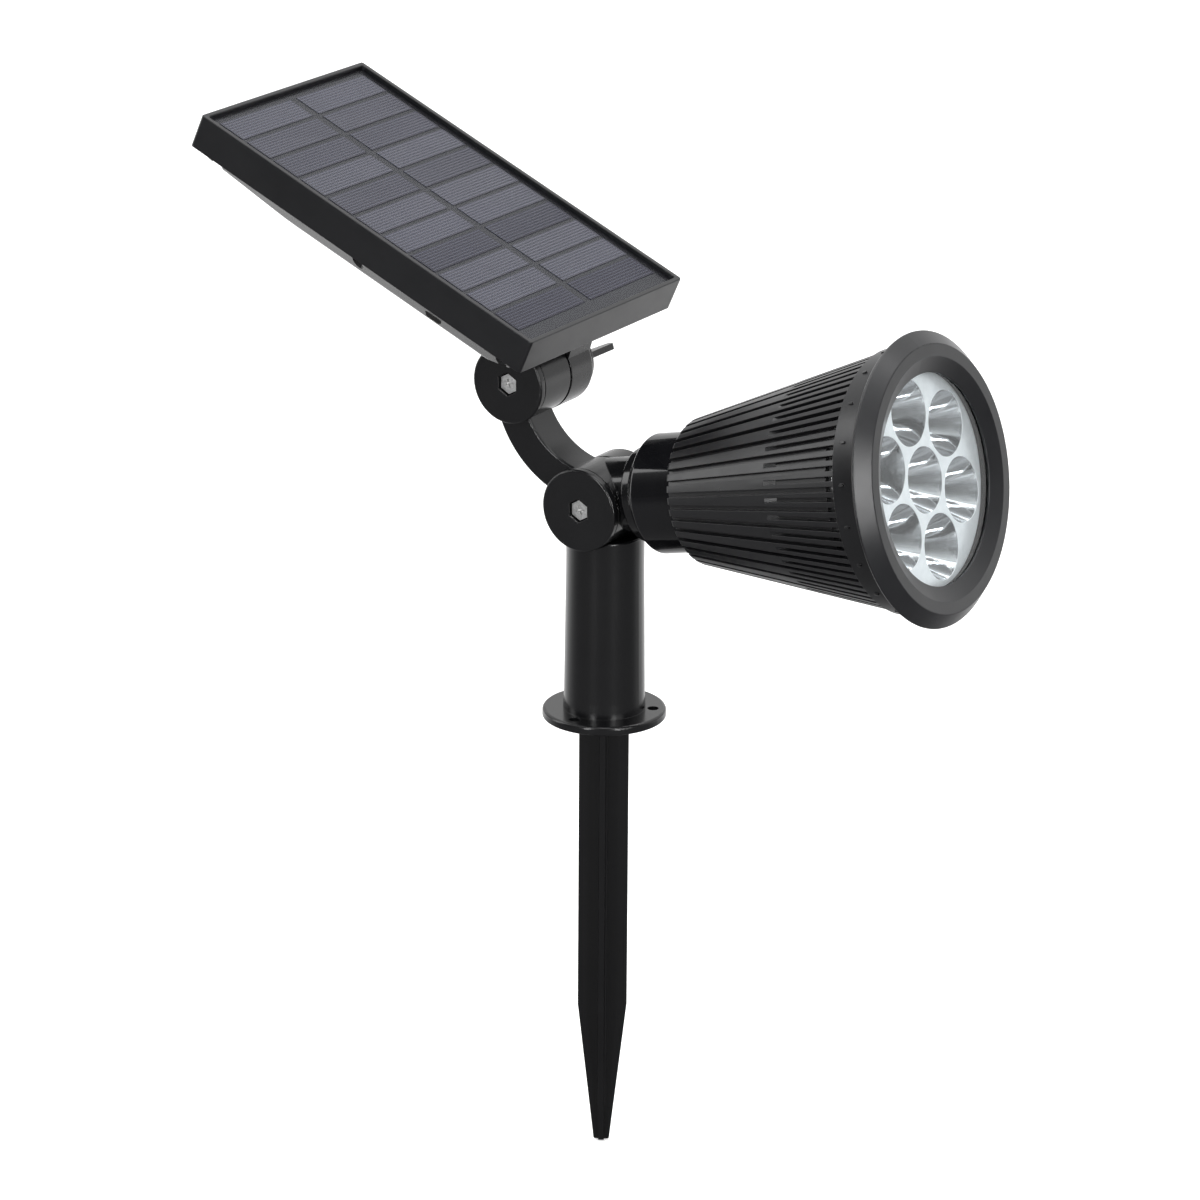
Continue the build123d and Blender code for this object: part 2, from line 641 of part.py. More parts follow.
with BuildPart() as reflector:
    # front plate and skirt
    with BuildSketch(HEAD_PROFILE):
        with BuildLine():
            outline([
                (REFLECTOR_BACK_AT, REFLECTOR_INNER_R), (REFLECTOR_BACK_AT, REFLECTOR_R),
                (REFLECTOR_FRONT_AT, REFLECTOR_R, 0.3), (REFLECTOR_FRONT_AT, 0),
                (REFLECTOR_FRONT_AT - CUP_WALL, 0),
                (REFLECTOR_FRONT_AT - CUP_WALL, REFLECTOR_INNER_R),
            ])
        make_face()
    revolve(axis=HEAD_AXIS)
    # outside of the cups
    for centre in cup_centres:
        with BuildSketch(Plane(origin=centre, x_dir=HEAD_DIR, z_dir=NEAR_DIR)):
            with BuildLine():
                Line((CUP_BASE_AT, 0), cup_outer[0])
                Spline(*cup_outer)
                Line(cup_outer[-1], (cup_outer[-1][0], 0))
                Line((cup_outer[-1][0], 0), (CUP_BASE_AT, 0))
            make_face()
        revolve(axis=Axis(centre, HEAD_DIR))
    # inside of the cups, cut through at both ends
    for centre in cup_centres:
        with BuildSketch(Plane(origin=centre, x_dir=HEAD_DIR, z_dir=NEAR_DIR)):
            with BuildLine():
                Line((CUP_BASE_AT - 1, 0), (CUP_BASE_AT - 1, CUP_BASE_R))
                Line((CUP_BASE_AT - 1, CUP_BASE_R), cup_inner[0])
                Spline(*cup_inner)
                Line(cup_inner[-1], (REFLECTOR_FRONT_AT + 1, CUP_MOUTH_R))
                Line((REFLECTOR_FRONT_AT + 1, CUP_MOUTH_R), (REFLECTOR_FRONT_AT + 1, 0))
                Line((REFLECTOR_FRONT_AT + 1, 0), (CUP_BASE_AT - 1, 0))
            make_face()
        revolve(axis=Axis(centre, HEAD_DIR), mode=Mode.SUBTRACT)
save(reflector, "reflector")

# ------------------------------------------------------------------ LED board, emitters, screws
LED_BOARD_R = 38.5
BOARD_T = 1.6           # every circuit board but the junction board
LED_FRONT_AT = LED_AT + BOARD_T
EMITTER_W, EMITTER_H = 3.6, 0.9
EMITTER_DOME_R, EMITTER_DOME_H = 1.35, 0.9

with BuildPart() as led_board:
    with BuildSketch(head_across(LED_AT)):
        Circle(LED_BOARD_R)
        with PolarLocations(**LED_SCREWS):
            Circle(1.35, mode=Mode.SUBTRACT)
    extrude(amount=BOARD_T)
save(led_board, "led_board")

with BuildPart() as led_emitters:
    for spot in CUP_SPOTS:
        with BuildSketch(head_across(LED_FRONT_AT)):
            with Locations(spot):
                Rectangle(EMITTER_W, EMITTER_W)
        extrude(amount=EMITTER_H)
        with BuildSketch(head_across(LED_FRONT_AT + EMITTER_H)):
            with Locations(spot):
                Circle(EMITTER_DOME_R)
        extrude(amount=EMITTER_DOME_H, taper=22)
save(led_emitters, "led_emitters")

lamp_screws("led_board_screws", seat=LED_FRONT_AT, spots=LED_SCREWS, head_r=2.2, head_h=1.3,
            shank_r=1.15, shank_l=4.4, slot_l=2.4, slot_w=0.6, slot_depth=0.6)

# ------------------------------------------------------------------ battery, holder and contacts
HOLDER_W = 22.0
HOLDER_T = 1.8          # floor and end walls
HOLDER_FLOOR = -11.7    # middle of the floor, above the lamp axis
CHEEK_Y, CHEEK_T = 10.2, 1.6
FRONT_CONTACT_AT = 119.2
# cheek, dipped in the middle: (along the lamp axis, above it, corner radius)
CHEEK_OUTLINE = [
    (53.0, -11.5), (120.0, -11.5), (120.0, -1.0, 2.0), (108.0, -1.0, 2.0),
    (104.0, -6.0, 2.0), (69.0, -6.0, 2.0), (65.0, -1.0, 2.0), (53.0, -1.0, 2.0),
]

with BuildPart() as battery_holder:
    with BuildSketch(HEAD_PROFILE):
        with Locations((86.5, HOLDER_FLOOR)):
            Rectangle(70.0, HOLDER_T)
    extrude(amount=HOLDER_W / 2, both=True)
    for wall_at in (52.4, 120.6):
        with BuildSketch(HEAD_PROFILE):
            with Locations((wall_at, -2.4)):
                Rectangle(HOLDER_T, 20.4)
        extrude(amount=HOLDER_W / 2, both=True)
    for y in (-CHEEK_Y, CHEEK_Y):
        with BuildSketch(head_side(y)):
            with BuildLine():
                outline(CHEEK_OUTLINE)
            make_face()
        extrude(amount=CHEEK_T / 2, both=True)
save(battery_holder, "battery_holder")

# a cell with its raised terminal at the front
revolved_piece("battery", [
    (54.3, 0), (54.3, 9.1, 0.6), (118.0, 9.1, 0.8), (118.0, 4.4), (117.6, 4.4), (117.6, 3.0),
    (FRONT_CONTACT_AT, 3.0, 0.4), (FRONT_CONTACT_AT, 0),
])

with BuildPart() as battery_contacts:
    # rear plate with a conical bump, then the plain front plate
    with BuildSketch(head_across(53.3)):
        Rectangle(9.0, 12.0)
    extrude(amount=0.4)
    with BuildSketch(head_across(53.7)):
        Circle(3.6)
    extrude(amount=0.6, taper=30)
    with BuildSketch(head_across(FRONT_CONTACT_AT)):
        Rectangle(8.0, 12.0)
    extrude(amount=0.5)
save(battery_contacts, "battery_contacts")

# ------------------------------------------------------------------ control board below the holder
CONTROL_AT = 86.0
CONTROL_L, CONTROL_W = 52.0, 26.0
CONTROL_BOTTOM = -14.3  # above the lamp axis
CONTROL_TOP = CONTROL_BOTTOM + BOARD_T
# parts hanging under the board: (size along, size across, height, centres)
BOX_COMPONENTS = (
    (5.0, 4.0, 1.5, [(-14, 4), (2, -5)]),
    (6.5, 6.5, 3.2, [(12, 4)]),
)
END_COMPONENTS = (4.0, 7.5, 4.5, [(-22, -1), (22, -1)])

with BuildPart() as control_board:
    with BuildSketch(Plane(origin=on_head(CONTROL_AT, CONTROL_BOTTOM), x_dir=HEAD_DIR,
                           z_dir=HEAD_UP)):
        Rectangle(CONTROL_L, CONTROL_W)
        with Locations((-23, 10), (-23, -10), (23, 10), (23, -10)):
            Circle(1.2, mode=Mode.SUBTRACT)
    extrude(amount=BOARD_T)
    # two spacer feet up to the holder
    with BuildSketch(Plane(origin=on_head(CONTROL_AT, CONTROL_TOP), x_dir=HEAD_DIR,
                           z_dir=HEAD_UP)):
        with Locations((-19, 0), (19, 0)):
            Rectangle(3.0, 10.0)
    extrude(amount=HOLDER_FLOOR - HOLDER_T / 2 - CONTROL_TOP)
save(control_board, "control_board")

with BuildPart() as control_components:
    under = Plane(origin=on_head(CONTROL_AT, CONTROL_BOTTOM), x_dir=HEAD_DIR, z_dir=HEAD_UP * -1)
    for length, width, height, centres in BOX_COMPONENTS:
        with BuildSketch(under):
            with Locations(*centres):
                Rectangle(length, width)
        extrude(amount=height)
    with BuildSketch(under):
        with Locations((-4, 6)):
            Circle(2.5)
    extrude(amount=5.0)
    length, width, height, centres = END_COMPONENTS
    with BuildSketch(under):
        with Locations(*centres):
            Rectangle(length, width)
    extrude(amount=height)
save(control_components, "control_components")

# ------------------------------------------------------------------ leads forward to the LED board
WIRE_R = 0.6
# (along the lamp axis, above it)
LEAD_PATH = [(110.0, -16.6), (114.0, -16.9), (117.7, -15.5), (LED_AT, -14.0)]

with BuildPart() as lamp_harness:
    for y in (-1.0, 1.0):
        lead_points = [on_head(along, above, y) for along, above in LEAD_PATH]
        with BuildLine():
            Spline(*lead_points, tangents=(HEAD_DIR, HEAD_DIR))
        with BuildSketch(Plane(origin=lead_points[0], x_dir=NEAR_DIR, z_dir=HEAD_DIR)):
            Circle(WIRE_R)
        sweep()
save(lamp_harness, "lamp_harness")

# ------------------------------------------------------------------ solar panel: frame
INSIDE_L, INSIDE_W = PANEL_L - 2 * PANEL_WALL, PANEL_W - 2 * PANEL_WALL
LEDGE_T = 1.6
LEDGE_INSET = 5.0       # total narrowing of the opening inside the ledge
BACK_PLATE_T = 2.0      # the back cover's plate, inside the frame

with BuildPart() as panel_frame:
    with BuildSketch(panel_flat(PANEL_BOTTOM_N, PANEL_MID)):
        RectangleRounded(PANEL_L, PANEL_W, 1.2)
    extrude(amount=PANEL_T)
    with BuildSketch(panel_flat(PANEL_BOTTOM_N, PANEL_MID)):
        RectangleRounded(INSIDE_L, INSIDE_W, 1.0)
    extrude(amount=PANEL_T, mode=Mode.SUBTRACT)
    # ledge the cell sheet rests on
    with BuildSketch(panel_flat(SHELF_N - LEDGE_T, PANEL_MID)):
        Rectangle(PANEL_L - PANEL_WALL, PANEL_W - PANEL_WALL)
        Rectangle(INSIDE_L - LEDGE_INSET, INSIDE_W - LEDGE_INSET, mode=Mode.SUBTRACT)
    extrude(amount=LEDGE_T)
    # screw bosses with pilot holes
    with BuildSketch(panel_flat(PANEL_BOTTOM_N + BACK_PLATE_T)):
        with Locations(*COVER_SCREW_SPOTS):
            Circle(2.9)
    extrude(amount=SHELF_N - 1.0 - PANEL_BOTTOM_N - BACK_PLATE_T)
    with BuildSketch(panel_flat(PANEL_BOTTOM_N + BACK_PLATE_T)):
        with Locations(*COVER_SCREW_SPOTS):
            Circle(1.1)
    extrude(amount=6.5, mode=Mode.SUBTRACT)
    chamfer(panel_frame.edges().group_by(Axis(on_panel(0, 0, 0), PANEL_NORMAL))[-1], 0.3)
save(panel_frame, "panel_frame")

# ------------------------------------------------------------------ cell sheet
PV_BOARD_T, CELL_T, PV_COVER_T = 1.2, 0.2, 0.3
FIT_GAP = 0.2           # total play inside the frame
CELL_ROWS = 11
CELL_PITCH, CELL_L = 13.4, 11.6
CELL_START = -136.9
CELL_SPANS_Y = ((-46.6, -1.9), (2.2, 46.9))


def build_sheet(name, bottom, thickness):
    """Save one full-size layer of the cell sheet."""
    with BuildPart() as sheet:
        with BuildSketch(panel_flat(bottom, PANEL_MID)):
            RectangleRounded(INSIDE_L - FIT_GAP, INSIDE_W - FIT_GAP, 1.0)
        extrude(amount=thickness)
    save(sheet, name)


build_sheet("pv_board", SHELF_N, PV_BOARD_T)

with BuildPart() as pv_cells:
    with BuildSketch(panel_flat(SHELF_N + PV_BOARD_T)):
        for i in range(CELL_ROWS):
            for start_y, end_y in CELL_SPANS_Y:
                with Locations((CELL_START + CELL_PITCH * i + CELL_L / 2, (start_y + end_y) / 2)):
                    Rectangle(CELL_L, end_y - start_y)
    extrude(amount=CELL_T)
save(pv_cells, "pv_cells")

build_sheet("pv_cover", SHELF_N + PV_BOARD_T + CELL_T, PV_COVER_T)

# ------------------------------------------------------------------ back cover
# a tray below the panel, with the far half of the upper pivot
PAN_N = 15.9            # underside of the tray
PAN_WALL = 1.9
BUTTON_DOWN, BUTTON_N = -26.0, 20.4
LEAD_DOWN, LEAD_Y = -4.0, 9.0       # where the leads leave the tray
KNUCKLE_R = UPPER.barrel_r + 0.2
WEB_FAR_Y = UPPER.far_end - 0.6
# web joining knuckle and tray: (downhill, above)
WEB_OUTLINE = [(-14.0, 3.0), (10.0, 8.0), (9.0, PAN_N + 1.5), (-17.0, PAN_N + 1.5)]


def pan_section(top_y, low_y, low, top):
    """Cross-section of the tray, with sloping long sides."""
    return [(-top_y, top), (-low_y, low, 6.0), (low_y, low, 6.0), (top_y, top)]


def pan_profile(low, top, high_end, low_end):
    """Side view of the tray, whose depth fades out towards both ends."""
    lift = low - PAN_N
    return [
        (high_end, top), (high_end + 4.0, PANEL_BOTTOM_N - 3.4 + lift, 2.0), (-88.0, low, 14.0),
        (-4.0, low, 8.0), (low_end - 3.5, PANEL_BOTTOM_N - 4.0 + lift, 3.0), (low_end, top),
    ]


# beyond the high end, facing downhill: local x is Y, local y is the panel's normal
PAN_END = Plane(origin=on_panel(-160, 0, 0), x_dir=FAR_DIR, z_dir=DOWNHILL)

with BuildPart() as pan_cavity:
    with BuildSketch(PAN_END):
        with BuildLine():
            outline(pan_section(47.2, 40.0, PAN_N + PAN_WALL, PANEL_BOTTOM_N + 2.1))
        make_face()
    extrude(amount=200)
    with BuildSketch(panel_side(80)):
        with BuildLine():
            outline(pan_profile(PAN_N + PAN_WALL, PANEL_BOTTOM_N + 2.1, -137.5, 11.5))
        make_face()
    extrude(amount=160, both=True, mode=Mode.INTERSECT)
    # solid columns stay around the screws
    with BuildSketch(panel_flat(0)):
        with Locations(*COVER_SCREW_SPOTS):
            Circle(4.3)
    extrude(amount=60, mode=Mode.SUBTRACT)

with BuildPart() as panel_back_cover:
    with BuildSketch(PAN_END):
        with BuildLine():
            outline(pan_section(50.0, 41.0, PAN_N, PANEL_BOTTOM_N + 0.1))
        make_face()
    extrude(amount=200)
    with BuildSketch(panel_side(80)):
        with BuildLine():
            outline(pan_profile(PAN_N, PANEL_BOTTOM_N + 0.1, -140.0, 14.0))
        make_face()
    extrude(amount=160, both=True, mode=Mode.INTERSECT)
    # plate inside the frame
    with BuildSketch(panel_flat(PANEL_BOTTOM_N, PANEL_MID)):
        RectangleRounded(INSIDE_L - FIT_GAP, INSIDE_W - FIT_GAP, 0.9)
    extrude(amount=BACK_PLATE_T)
    add(pan_cavity.part, mode=Mode.SUBTRACT)
    # knuckle, its web and the bolt hole
    with BuildSketch(UPPER.profile):
        with BuildLine():
            outline([(FAR_Y, 0), (UPPER.far_end, 0), (UPPER.far_end, KNUCKLE_R, 1.8),
                     (FAR_Y, KNUCKLE_R, 0.25)])
        make_face()
    revolve(axis=UPPER.axis)
    with BuildSketch(panel_side(WEB_FAR_Y)):
        with BuildLine():
            outline(WEB_OUTLINE)
        make_face()
    extrude(amount=WEB_FAR_Y - FAR_Y)
    with BuildSketch(UPPER.side(UPPER.far_end + 1)):
        Circle(BOLT_HOLE_R)
    extrude(amount=THROUGH, mode=Mode.SUBTRACT)
    # lead hole from the tray into the knuckle web
    with BuildSketch(panel_flat(PAN_N - 5.0, LEAD_DOWN, LEAD_Y)):
        Circle(2.0)
    extrude(amount=9.0, mode=Mode.SUBTRACT)
    # screw pockets up through the sloping sides, then the screw holes
    with BuildSketch(panel_flat(PANEL_BOTTOM_N - 1.0)):
        with Locations(*COVER_SCREW_SPOTS):
            Circle(2.5)
    extrude(amount=-20, mode=Mode.SUBTRACT)
    with BuildSketch(panel_flat(PANEL_BOTTOM_N - 2.0)):
        with Locations(*COVER_SCREW_SPOTS):
            Circle(1.3)
    extrude(amount=6.0, mode=Mode.SUBTRACT)
    # oval hole for the push button in the near wall of the tray
    with BuildSketch(panel_side(-38)):
        with Locations((BUTTON_DOWN, BUTTON_N)):
            SlotOverall(7.6, 2.7)
    extrude(amount=20, mode=Mode.SUBTRACT)
save(panel_back_cover, "panel_back_cover")

# ------------------------------------------------------------------ cover screws, heads down
COVER_HEAD_H = 1.1
COVER_HEAD_N = PANEL_BOTTOM_N - 1.0 - COVER_HEAD_H

with BuildPart() as cover_screws:
    with BuildSketch(panel_flat(COVER_HEAD_N)):
        with Locations(*COVER_SCREW_SPOTS):
            Circle(2.1)
    extrude(amount=COVER_HEAD_H)
    with BuildSketch(panel_flat(COVER_HEAD_N + COVER_HEAD_H)):
        with Locations(*COVER_SCREW_SPOTS):
            Circle(1.05)
    extrude(amount=9.0)
    with BuildSketch(panel_flat(COVER_HEAD_N)):
        with Locations(*COVER_SCREW_SPOTS):
            cross(2.2, 0.55)
    extrude(amount=0.75, mode=Mode.SUBTRACT)
save(cover_screws, "cover_screws")

# ------------------------------------------------------------------ push button and switch
BUTTON_INNER_Y = -39.6
SWITCH_BACK_Y, SWITCH_T = -33.3, 4.0
SWITCH_BOARD_LOW_N = BUTTON_N - 1.6

with BuildPart() as mode_button:
    with BuildSketch(panel_side(BUTTON_INNER_Y)):
        with Locations((BUTTON_DOWN, BUTTON_N)):
            SlotOverall(7.2, 2.3)
    extrude(amount=5.6)
    fillet(mode_button.edges().group_by(Axis.Y)[0], 0.3)
    # wider foot inside the tray wall
    with BuildSketch(panel_side(BUTTON_INNER_Y)):
        with Locations((BUTTON_DOWN, BUTTON_N)):
            RectangleRounded(10.0, 2.3, 0.5)
    extrude(amount=1.2)
save(mode_button, "mode_button")

with BuildPart() as mode_switch:
    with BuildSketch(panel_side(SWITCH_BACK_Y)):
        with Locations((BUTTON_DOWN, BUTTON_N + 1.6)):
            Rectangle(8.0, 6.0)
    extrude(amount=SWITCH_T)
    with BuildSketch(panel_side(SWITCH_BACK_Y - SWITCH_T)):
        with Locations((BUTTON_DOWN, BUTTON_N)):
            Circle(1.1)
    extrude(amount=1.25)
    # little board behind it, carried up to the cell sheet
    with BuildSketch(panel_side(SWITCH_BACK_Y + BOARD_T)):
        with Locations((BUTTON_DOWN, (SWITCH_BOARD_LOW_N + SHELF_N) / 2)):
            Rectangle(12.0, SHELF_N - SWITCH_BOARD_LOW_N)
    extrude(amount=BOARD_T)
save(mode_switch, "mode_switch")

# ------------------------------------------------------------------ junction board and leads
JUNCTION_T = 1.4
LEAD_START_N = 12.0
LEAD_L = SHELF_N - JUNCTION_T - 0.05 - LEAD_START_N

with BuildPart() as junction_board:
    with BuildSketch(panel_flat(SHELF_N - JUNCTION_T, LEAD_DOWN, LEAD_Y)):
        Rectangle(20.0, 14.0)
        Circle(1.2, mode=Mode.SUBTRACT)
    extrude(amount=JUNCTION_T)
    # two blocks on its underside
    with BuildSketch(panel_flat(SHELF_N - JUNCTION_T, LEAD_DOWN, LEAD_Y)):
        with Locations((6.0, 0), (-6.0, 3.0)):
            Rectangle(4.2, 2.6)
    extrude(amount=-2.0)
save(junction_board, "junction_board")

with BuildPart() as panel_leads:
    for shift in (-0.75, 0.75):
        with BuildSketch(panel_flat(LEAD_START_N, LEAD_DOWN + shift, LEAD_Y)):
            Circle(WIRE_R)
        extrude(amount=LEAD_L)
save(panel_leads, "panel_leads")
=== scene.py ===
"""Solar spotlight on a ground stake: materials, studio, lights and camera.

Metres, +Z up, the post standing along Z. The lamp head points along +X, tilted up;
the solar panel slopes down towards +X. The camera looks from the -Y side and from +X.
"""
import math

import bpy
from mathutils import Matrix, Vector

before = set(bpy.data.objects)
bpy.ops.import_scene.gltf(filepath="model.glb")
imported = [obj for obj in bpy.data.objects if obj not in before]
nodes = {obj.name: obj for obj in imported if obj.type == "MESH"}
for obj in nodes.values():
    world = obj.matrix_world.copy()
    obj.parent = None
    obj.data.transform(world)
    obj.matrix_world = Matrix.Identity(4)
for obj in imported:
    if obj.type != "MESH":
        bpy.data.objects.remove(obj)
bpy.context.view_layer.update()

MM = 0.001

# Lamp head axis: a point on it (mm) and its direction
HEAD_TILT = math.radians(12.7)
HEAD_ORIGIN = Vector((0.0, 0.0, 87.4))
HEAD_AXIS = Vector((math.cos(HEAD_TILT), 0.0, math.sin(HEAD_TILT)))

# Solar panel: a reference point (mm) and the downhill direction; its width runs along Y
PANEL_SLOPE = math.radians(23.8)
PANEL_ORIGIN = Vector((-31.6, 0.0, 131.2))
PANEL_DOWNHILL = Vector((math.cos(PANEL_SLOPE), 0.0, -math.sin(PANEL_SLOPE)))
PANEL_ACROSS = (0, 1, 0)


# ------------------------------------------------------------------ node helpers
class Graph:
    """The node tree of a material or world, with short calls that return output sockets."""

    def __init__(self, owner, output_kind):
        owner.use_nodes = True
        self.owner = owner
        self.tree = owner.node_tree
        self.tree.nodes.clear()
        self.output = self.node(output_kind)

    def node(self, kind, inputs=None, **properties):
        made = self.tree.nodes.new("ShaderNode" + kind)
        for key, value in properties.items():
            setattr(made, key, value)
        for key, value in (inputs or {}).items():
            self.put(made.inputs[key], value)
        return made

    def put(self, socket, value):
        """Link a socket, or set a constant; colours are given as three numbers."""
        if isinstance(value, bpy.types.NodeSocket):
            self.tree.links.new(value, socket)
        elif socket.type == "RGBA":
            socket.default_value = (*value, 1.0)
        else:
            socket.default_value = value

    def coords(self):
        return self.node("TexCoord").outputs["Object"]

    def math(self, operation, a, b=0.0, clamp=False):
        made = self.node("Math", {0: a, 1: b}, operation=operation, use_clamp=clamp)
        return made.outputs[0]

    def dot(self, a, b):
        return self.node("VectorMath", {0: a, 1: b}, operation="DOT_PRODUCT").outputs["Value"]

    def millimetres_along(self, vector, direction):
        return self.math("DIVIDE", self.dot(vector, direction), MM)

    def offset_from(self, coords, origin_mm):
        made = self.node("VectorMath", {0: coords, 1: origin_mm * MM}, operation="SUBTRACT")
        return made.outputs["Vector"]

    def noise(self, coords, scale, detail=2.0, rough=0.5, distort=0.0):
        inputs = {"Vector": coords, "Scale": scale, "Detail": detail,
                  "Roughness": rough, "Distortion": distort}
        return self.node("TexNoise", inputs).outputs[0]

    def ramp(self, value, start, end, low=0.0, high=1.0):
        """Smooth step from low to high while value runs from start to end."""
        inputs = {"Value": value, "From Min": start, "From Max": end,
                  "To Min": low, "To Max": high}
        return self.node("MapRange", inputs, interpolation_type="SMOOTHSTEP").outputs[0]

    def mix(self, factor, a, b):
        # sockets 6, 7 and output 2 are the colour ones
        return self.node("Mix", {0: factor, 6: a, 7: b}, data_type="RGBA").outputs[2]

    def mix_float(self, factor, a, b):
        return self.node("Mix", {0: factor, 2: a, 3: b}, data_type="FLOAT").outputs[0]

    def bevel(self, radius):
        return self.node("Bevel", {"Radius": radius}, samples=4).outputs[0]

    def edge(self, radius, gain):
        """Rises from 0 on flats towards 1 on sharp edges."""
        flat = self.node("NewGeometry").outputs["Normal"]
        bend = self.math("SUBTRACT", 1.0, self.dot(self.bevel(radius), flat))
        return self.math("MULTIPLY", bend, gain, clamp=True)

    def bump(self, height, strength, distance, normal=None):
        inputs = {"Height": height, "Strength": strength, "Distance": distance}
        if normal is not None:
            inputs["Normal"] = normal
        return self.node("Bump", inputs).outputs[0]

    def surface(self, color, rough, normal=None, metallic=0.0, spec=0.5, coat=0.0,
                coat_rough=0.1):
        inputs = {"Base Color": color, "Roughness": rough, "Metallic": metallic, "IOR": 1.5,
                  "Specular IOR Level": spec, "Coat Weight": coat,
                  "Coat Roughness": coat_rough}
        if normal is not None:
            inputs["Normal"] = normal
        return self.node("BsdfPrincipled", inputs)

    def finish(self, shader):
        self.put(self.output.inputs["Surface"], shader.outputs[0])
        return self.owner


def new_material(name):
    return Graph(bpy.data.materials.new(name), "OutputMaterial")


def shade(color, gain, blue_gain=None):
    """Brighten or darken a colour, with an optional gain of its own for blue."""
    gains = (gain, gain, blue_gain or gain)
    return tuple(min(1.0, channel * factor) for channel, factor in zip(color, gains))


# ------------------------------------------------------------------ materials
def moulded(name, base, rough, grain, bevel=0.00025, rough_var=0.06, spec=0.5,
            gloss_span=None, gloss=0.1):
    """Moulded plastic or rubber: fine grain, faint clouding, edges painted lighter as rubbed
    wear and painted highlight.

    gloss_span, in mm along the head axis, is where the roughness changes to gloss.
    """
    m = new_material(name)
    co = m.coords()
    cloud = m.noise(co, scale=45.0, detail=4.0, rough=0.6)
    fine = m.noise(co, scale=2600.0, detail=2.0, rough=0.6)
    medium = m.noise(co, scale=620.0, detail=3.0, rough=0.55)
    patches = m.ramp(m.noise(co, scale=210.0, detail=3.0), start=0.3, end=0.75)
    # edge mask in random patches: rubbed wear that also paints a highlight along the edges
    edge_wear_and_highlight = m.math("MULTIPLY", m.edge(bevel * 2.2, gain=1.6), patches)

    tint = m.mix(m.ramp(cloud, start=0.25, end=0.8),
                 shade(base, gain=0.82, blue_gain=0.84), shade(base, gain=1.18, blue_gain=1.16))
    # edges painted lighter: part rubbed wear, part painted highlight
    tint = m.mix(m.math("MULTIPLY", edge_wear_and_highlight, 0.5), tint, shade(base, gain=2.2))

    # broad variation around the mean roughness, then the fine grain
    broad = m.ramp(m.noise(co, scale=130.0, detail=5.0, rough=0.62), start=0.2, end=0.8)
    roughness = m.math("ADD", rough - rough_var * 0.5, m.math("MULTIPLY", broad, rough_var))
    speckle = m.math("MULTIPLY", m.math("SUBTRACT", fine, 0.5), 0.05 * grain)
    roughness = m.math("ADD", roughness, speckle, clamp=True)
    if gloss_span is not None:
        along = m.dot(co, HEAD_AXIS)
        origin = HEAD_ORIGIN.dot(HEAD_AXIS) * MM
        start, end = (origin + place * MM for place in gloss_span)
        roughness = m.mix_float(m.ramp(along, start, end), roughness, gloss)

    height = m.math("ADD", m.math("MULTIPLY", fine, 0.6), m.math("MULTIPLY", medium, 0.7))
    normal = m.bump(height, strength=0.16 * grain, distance=0.00006, normal=m.bevel(bevel))
    return m.finish(m.surface(tint, roughness, normal, spec=spec))


def metal(name, base, rough, scale=900.0):
    """Bare or plated metal with fine spots and broad changes of roughness."""
    m = new_material(name)
    co = m.coords()
    spots = m.noise(co, scale, detail=4.0, rough=0.65)
    broad = m.noise(co, scale=120.0, detail=3.0)
    tint = m.mix(m.ramp(spots, start=0.3, end=0.75),
                 shade(base, gain=0.78), shade(base, gain=1.12))
    variation = m.math("MULTIPLY", m.math("SUBTRACT", broad, 0.5), 0.25)
    roughness = m.math("ADD", rough, variation, clamp=True)
    normal = m.bump(spots, strength=0.1, distance=0.00005, normal=m.bevel(0.00015))
    return m.finish(m.surface(tint, roughness, normal, metallic=1.0))


def reflector_finish(name):
    """Metallised plastic: near-mirror cups behind a front plate with a soft silver sheen."""
    m = new_material(name)
    co = m.coords()
    along = m.millimetres_along(m.offset_from(co, HEAD_ORIGIN), HEAD_AXIS)
    plate = m.ramp(along, start=138.5, end=138.85)
    haze = m.noise(co, scale=260.0, detail=3.0, rough=0.55)
    tint = m.mix(m.ramp(haze, start=0.3, end=0.7), (0.84, 0.845, 0.86), (0.92, 0.923, 0.935))
    # the plate is rougher and less metallic than the cups
    roughness = m.math("ADD", m.math("MULTIPLY", plate, 0.26),
                       m.ramp(haze, start=0.2, end=0.8, low=0.06, high=0.10))
    metallic = m.math("SUBTRACT", 0.90, m.math("MULTIPLY", plate, 0.60))
    normal = m.bump(haze, strength=0.02, distance=0.00003, normal=m.bevel(0.0002))
    return m.finish(m.surface(tint, roughness, normal, metallic=metallic))


def board(name, base, line, pitch=0.0016):
    """Coated circuit board with faint tracks under the mask."""
    m = new_material(name)
    co = m.coords()
    scaled = m.node("VectorMath", {0: co, "Scale": 1.0 / pitch}, operation="SCALE")
    tracks = m.node("TexBrick", {
        "Vector": scaled.outputs[0], "Scale": 0.35, "Mortar Size": 0.06,
        "Color1": base, "Color2": shade(base, gain=0.88), "Mortar": line})
    roughness = m.ramp(m.noise(co, scale=300.0, detail=3.0),
                       start=0.2, end=0.8, low=0.22, high=0.36)
    normal = m.bump(tracks.outputs["Fac"], strength=0.1, distance=0.00003)
    return m.finish(m.surface(tracks.outputs["Color"], roughness, normal))


def wrap(name, base):
    """Thin coloured plastic skin with soft wrinkles."""
    m = new_material(name)
    wrinkles = m.noise(m.coords(), scale=90.0, detail=5.0, rough=0.6, distort=0.4)
    tint = m.mix(m.ramp(wrinkles, start=0.3, end=0.7),
                 shade(base, gain=0.8), shade(base, gain=1.15))
    roughness = m.ramp(wrinkles, start=0.2, end=0.9, low=0.16, high=0.3)
    normal = m.bump(wrinkles, strength=0.15, distance=0.0002, normal=m.bevel(0.0002))
    return m.finish(m.surface(tint, roughness, normal))


